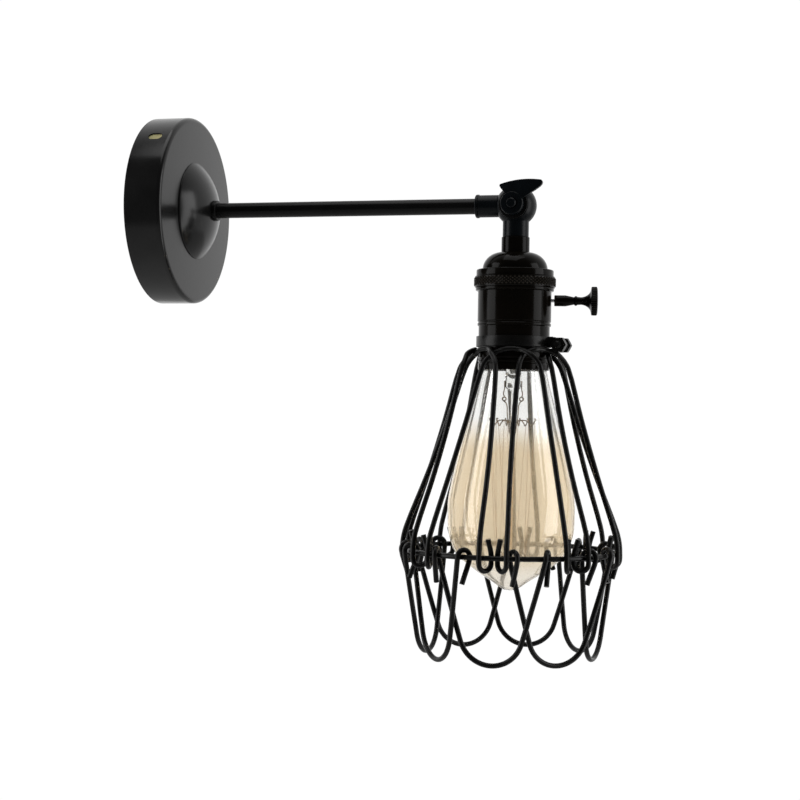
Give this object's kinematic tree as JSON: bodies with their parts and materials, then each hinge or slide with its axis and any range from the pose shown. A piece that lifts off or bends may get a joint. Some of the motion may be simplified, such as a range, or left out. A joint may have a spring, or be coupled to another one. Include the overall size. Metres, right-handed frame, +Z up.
{
  "type": "cage wall light",
  "caption": "Wall light with a round canopy, straight arm and tilting knuckle, a keyed holder with a pear-shaped bulb, and a woven wire cage whose petals swing open.",
  "frame": {"origin": "on the wall plane, at the centre of the canopy", "axes": "+X straight out of the wall along the arm, +Z up, -Y towards the side that the picture shows"},
  "size_m": [0.2491, 0.1118, 0.2769],
  "materials": {
    "canopy_paint": "satin charcoal paint",
    "zinc_plate": "yellow zinc plating",
    "arm_paint": "satin black paint",
    "knuckle_metal": "satin bluish black",
    "holder_metal": "gloss pearl black",
    "cage_wire": "satin black",
    "bright_steel": "zinc plated",
    "brass": "plain",
    "block_plastic": "cream",
    "live_sleeve": "brown",
    "neutral_sleeve": "blue",
    "earth_sleeve": "green and yellow",
    "phenolic": "dark brown",
    "ceramic": "white glazed",
    "black_glass": "black",
    "bulb_glass": "clear to amber",
    "stem_glass": "clear",
    "bulb_cap_metal": "nickel",
    "support_wire": "dull",
    "filament_wire": "dull"
  },
  "bodies": {
    "wall_side": {"wall_strap": "zinc_plate", "wall_canopy": "canopy_paint", "canopy_dome": "canopy_paint", "terminal_block": "block_plastic", "earth_screw": "brass", "live_wire": "live_sleeve", "neutral_wire": "neutral_sleeve", "earth_wire": "earth_sleeve", "arm_lock_washer": "bright_steel", "arm_lock_nut": "bright_steel", "arm_ring_nut": "arm_paint", "arm_tube": "arm_paint", "knuckle_arm_half": "knuckle_metal", "pivot_bolt": "knuckle_metal", "pivot_washer": "arm_paint"},
    "thumb_nut": {"thumb_nut": "knuckle_metal"},
    "lamp": {"knuckle_lamp_half": "knuckle_metal", "holder_nipple": "brass", "nipple_nut": "brass", "holder_cap": "holder_metal", "knurled_ring": "holder_metal", "holder_shell": "holder_metal", "switch_body": "phenolic", "centre_contact": "brass", "holder_insulator": "ceramic", "screw_shell": "brass", "bulb_contact": "bright_steel", "bulb_insulator": "black_glass", "bulb_cap": "bulb_cap_metal", "bulb_glass": "bulb_glass", "bulb_stem": "stem_glass", "bulb_supports": "support_wire", "bulb_filament": "filament_wire", "clamp_band": "cage_wire", "clamp_bolt": "cage_wire", "clamp_nut": "cage_wire", "cage_ring": "cage_wire", "cage_arch_1": "cage_wire", "cage_arch_2": "cage_wire", "cage_arch_3": "cage_wire", "cage_arch_4": "cage_wire", "cage_arch_5": "cage_wire", "cage_arch_6": "cage_wire", "cage_arch_7": "cage_wire", "cage_arch_8": "cage_wire"},
    "switch_key": {"switch_shaft": "bright_steel", "switch_key": "holder_metal"},
    "petal_1": {"cage_petal_1": "cage_wire"},
    "petal_2": {"cage_petal_2": "cage_wire"},
    "petal_3": {"cage_petal_3": "cage_wire"},
    "petal_4": {"cage_petal_4": "cage_wire"},
    "petal_5": {"cage_petal_5": "cage_wire"},
    "petal_6": {"cage_petal_6": "cage_wire"},
    "petal_7": {"cage_petal_7": "cage_wire"},
    "petal_8": {"cage_petal_8": "cage_wire"}
  },
  "joints": [
    {"name": "lamp_tilt", "type": "hinge", "parent": "wall_side", "child": "lamp", "pos_m": [0.1932, 0, 0], "axis": [0, -1, 0], "range_deg": [-15, 195]},
    {"name": "thumb_nut_turn", "type": "hinge", "parent": "wall_side", "child": "thumb_nut", "pos_m": [0.1932, 0, 0], "axis": [0, -1, 0], "range_deg": [0, 360]},
    {"name": "switch_key_turn", "type": "hinge", "parent": "lamp", "child": "switch_key", "pos_m": [0.1932, 0, -0.0478], "axis": [0.9848, 0.1736, 0], "continuous": true},
    {"name": "petal_1_open", "type": "hinge", "parent": "lamp", "child": "petal_1", "pos_m": [0.1932, -0.04434, -0.1742], "axis": [-1, 0, 0], "range_deg": [0, 75]},
    {"name": "petal_2_open", "type": "hinge", "parent": "lamp", "child": "petal_2", "pos_m": [0.22455, -0.03135, -0.1742], "axis": [-0.7071, -0.7071, 0], "range_deg": [0, 75]},
    {"name": "petal_3_open", "type": "hinge", "parent": "lamp", "child": "petal_3", "pos_m": [0.23754, 0, -0.1742], "axis": [0, -1, 0], "range_deg": [0, 75]},
    {"name": "petal_4_open", "type": "hinge", "parent": "lamp", "child": "petal_4", "pos_m": [0.22455, 0.03135, -0.1742], "axis": [0.7071, -0.7071, 0], "range_deg": [0, 75]},
    {"name": "petal_5_open", "type": "hinge", "parent": "lamp", "child": "petal_5", "pos_m": [0.1932, 0.04434, -0.1742], "axis": [1, 0, 0], "range_deg": [0, 75]},
    {"name": "petal_6_open", "type": "hinge", "parent": "lamp", "child": "petal_6", "pos_m": [0.16185, 0.03135, -0.1742], "axis": [0.7071, 0.7071, 0], "range_deg": [0, 75]},
    {"name": "petal_7_open", "type": "hinge", "parent": "lamp", "child": "petal_7", "pos_m": [0.14886, 0, -0.1742], "axis": [0, 1, 0], "range_deg": [0, 75]},
    {"name": "petal_8_open", "type": "hinge", "parent": "lamp", "child": "petal_8", "pos_m": [0.16185, -0.03135, -0.1742], "axis": [-0.7071, 0.7071, 0], "range_deg": [0, 75]}
  ],
  "couplings": [
    {"joint": "petal_2_open", "follows": "petal_1_open", "ratio": 1},
    {"joint": "petal_3_open", "follows": "petal_1_open", "ratio": 1},
    {"joint": "petal_4_open", "follows": "petal_1_open", "ratio": 1},
    {"joint": "petal_5_open", "follows": "petal_1_open", "ratio": 1},
    {"joint": "petal_6_open", "follows": "petal_1_open", "ratio": 1},
    {"joint": "petal_7_open", "follows": "petal_1_open", "ratio": 1},
    {"joint": "petal_8_open", "follows": "petal_1_open", "ratio": 1}
  ]
}
